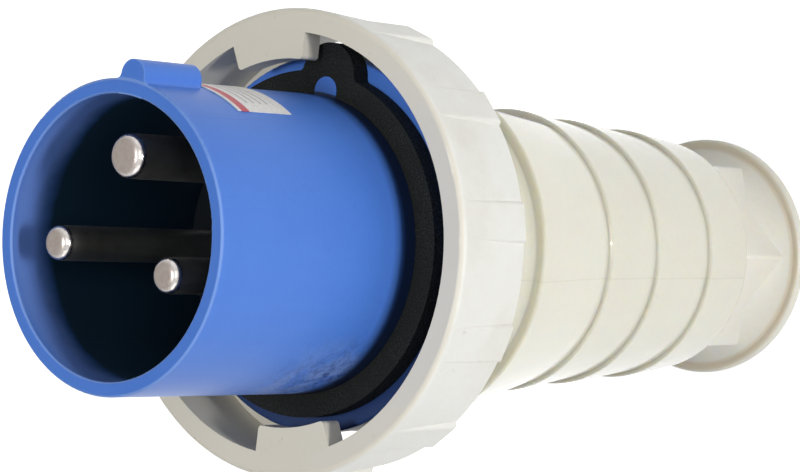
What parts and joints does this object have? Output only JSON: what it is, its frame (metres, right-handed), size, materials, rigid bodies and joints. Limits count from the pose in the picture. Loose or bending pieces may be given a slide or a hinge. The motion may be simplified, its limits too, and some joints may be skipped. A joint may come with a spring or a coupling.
{
  "type": "industrial pin and sleeve plug",
  "caption": "Industrial power plug: contact pins inside a round blue shroud, a turning bayonet locking ring, a stepped ivory handle and a screwed cable gland.",
  "frame": {"origin": "centre of the gland nut's rear face, on which the plug stands", "axes": "+Z along the plug's axis towards the pin tips, +X through the key on the shroud and the earth pin"},
  "size_m": [0.1108, 0.1108, 0.2356],
  "materials": {
    "ivory_plastic": "glossy moulded ivory",
    "ring_plastic": "satin moulded off-white, lightly scuffed",
    "blue_plastic": "satin moulded blue",
    "black_plastic": "matt black moulded",
    "black_rubber": "speckled black foam rubber",
    "white_nylon": "smooth white nylon",
    "nickel_plate": "nickel-plated brass, worn tips",
    "zinc_steel": "zinc-plated steel",
    "paper_label": "white label with a red band",
    "film_label": "pale clear film"
  },
  "bodies": {
    "plug": {"handle_housing": "ivory_plastic", "front_shroud": "blue_plastic", "contact_carrier": "black_plastic", "pin_retainer": "black_plastic", "face_gasket": "black_rubber", "spigot_oring": "black_rubber", "gland_seal": "black_rubber", "earth_pin": "nickel_plate", "line_pin": "nickel_plate", "neutral_pin": "nickel_plate", "earth_terminal_screws": "zinc_steel", "line_terminal_screws": "zinc_steel", "neutral_terminal_screws": "zinc_steel", "retainer_screws": "zinc_steel", "front_screws": "zinc_steel", "rating_label": "paper_label", "handle_label": "film_label"},
    "locking_ring": {"locking_ring": "ring_plastic"},
    "gland_washer": {"gland_washer": "white_nylon"},
    "gland_nut": {"gland_nut": "ivory_plastic"}
  },
  "joints": [
    {"name": "ring_turn", "type": "hinge", "parent": "plug", "child": "locking_ring", "pos_m": [0, 0, 0.1586], "axis": [0, 0, 1], "continuous": true},
    {"name": "gland_travel", "type": "slide", "parent": "plug", "child": "gland_washer", "axis": [0, 0, -1], "range_m": [0, 0.008]},
    {"name": "gland_turn", "type": "hinge", "parent": "gland_washer", "child": "gland_nut", "pos_m": [0, 0, 0.02], "axis": [0, 0, -1], "range_deg": [0, 1440]}
  ],
  "couplings": [
    {"joint": "gland_travel", "follows": "gland_turn", "m_per_rad": 0.00031831}
  ]
}
